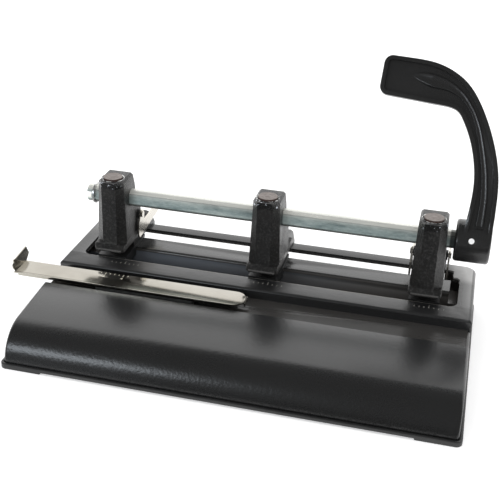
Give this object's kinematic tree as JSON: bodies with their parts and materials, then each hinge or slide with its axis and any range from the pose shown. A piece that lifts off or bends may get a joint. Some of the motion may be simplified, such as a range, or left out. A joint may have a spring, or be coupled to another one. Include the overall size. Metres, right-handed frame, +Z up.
{
  "type": "lever paper punch",
  "caption": "Lever-operated desk paper punch: movable punch heads on a long black steel base, a round drive shaft, a curved side handle and a sliding sheet guide.",
  "frame": {"origin": "on the desk surface, below the axis of the middle punch", "axes": "+X along the row of punches towards the handle, +Y to the rear, +Z up"},
  "size_m": [0.3079, 0.1721, 0.1769],
  "materials": {
    "pan_plastic": "matt",
    "black_paint": "glossy enamel with a fine grain",
    "head_paint": "black wrinkle enamel",
    "handle_paint": "glossy enamel",
    "shaft_steel": "bright drawn bar",
    "nickel_plate": "warm nickel plate",
    "cap_steel": "dull",
    "tool_steel": "ground",
    "spring_steel": "oiled",
    "plain_steel": "plain"
  },
  "bodies": {
    "base": {"chip_pan": "pan_plastic", "base_frame": "black_paint", "table_cover": "black_paint", "head_rail": "black_paint", "anchor_screw": "plain_steel", "head_middle": "head_paint", "die_block_middle": "tool_steel", "die_screws_middle": "plain_steel", "punch_spring_middle": "spring_steel", "bore_cap_middle": "cap_steel", "guide_keeper": "plain_steel", "keeper_screws": "plain_steel"},
    "lever": {"handle": "handle_paint", "lever_shaft": "shaft_steel", "hub_pin": "shaft_steel", "shaft_clip": "shaft_steel", "drive_cam_middle": "tool_steel"},
    "guide": {"guide_slide": "nickel_plate"},
    "middle_punch": {"punch_middle": "tool_steel"},
    "left_head": {"head_left": "head_paint", "die_block_left": "tool_steel", "die_screws_left": "plain_steel", "punch_spring_left": "spring_steel", "bore_cap_left": "cap_steel", "latch_pin_left": "nickel_plate"},
    "left_punch": {"punch_left": "tool_steel"},
    "left_cam": {"drive_cam_left": "tool_steel"},
    "left_latch": {"latch_left": "nickel_plate"},
    "right_head": {"head_right": "head_paint", "die_block_right": "tool_steel", "die_screws_right": "plain_steel", "punch_spring_right": "spring_steel", "bore_cap_right": "cap_steel", "latch_pin_right": "nickel_plate"},
    "right_punch": {"punch_right": "tool_steel"},
    "right_cam": {"drive_cam_right": "tool_steel"},
    "right_latch": {"latch_right": "nickel_plate"}
  },
  "joints": [
    {"name": "handle_turn", "type": "hinge", "parent": "base", "child": "lever", "pos_m": [0, 0.0099, 0.0702], "axis": [1, 0, 0], "range_deg": [0, 80], "stiffness_Nm_per_rad": 0.4, "springref_deg": -28.65},
    {"name": "punch_middle_stroke", "type": "slide", "parent": "base", "child": "middle_punch", "axis": [0, 0, -1], "range_m": [0, 0.0103], "deforming": ["punch_spring_middle"]},
    {"name": "left_head_slide", "type": "slide", "parent": "base", "child": "left_head", "axis": [1, 0, 0], "range_m": [0, 0.07]},
    {"name": "punch_left_stroke", "type": "slide", "parent": "left_head", "child": "left_punch", "axis": [0, 0, -1], "range_m": [0, 0.0103], "deforming": ["punch_spring_left"]},
    {"name": "left_cam_turn", "type": "hinge", "parent": "left_head", "child": "left_cam", "pos_m": [-0.10795, 0.0099, 0.0702], "axis": [1, 0, 0], "range_deg": [0, 80]},
    {"name": "left_latch_lift", "type": "hinge", "parent": "left_head", "child": "left_latch", "pos_m": [-0.10795, 0.0205, 0.053], "axis": [1, 0, 0], "range_deg": [0, 25]},
    {"name": "right_head_slide", "type": "slide", "parent": "base", "child": "right_head", "axis": [1, 0, 0], "range_m": [-0.07, 0]},
    {"name": "punch_right_stroke", "type": "slide", "parent": "right_head", "child": "right_punch", "axis": [0, 0, -1], "range_m": [0, 0.0103], "deforming": ["punch_spring_right"]},
    {"name": "right_cam_turn", "type": "hinge", "parent": "right_head", "child": "right_cam", "pos_m": [0.10795, 0.0099, 0.0702], "axis": [1, 0, 0], "range_deg": [0, 80]},
    {"name": "right_latch_lift", "type": "hinge", "parent": "right_head", "child": "right_latch", "pos_m": [0.10795, 0.0205, 0.053], "axis": [1, 0, 0], "range_deg": [0, 25]},
    {"name": "guide_slide_travel", "type": "slide", "parent": "base", "child": "guide", "axis": [1, 0, 0], "range_m": [-0.02, 0.05]}
  ],
  "couplings": [
    {"joint": "punch_middle_stroke", "follows": "handle_turn", "m_per_rad": 0.007366},
    {"joint": "punch_left_stroke", "follows": "handle_turn", "m_per_rad": 0.007366},
    {"joint": "left_cam_turn", "follows": "handle_turn", "ratio": 1},
    {"joint": "punch_right_stroke", "follows": "handle_turn", "m_per_rad": 0.007366},
    {"joint": "right_cam_turn", "follows": "handle_turn", "ratio": 1}
  ]
}
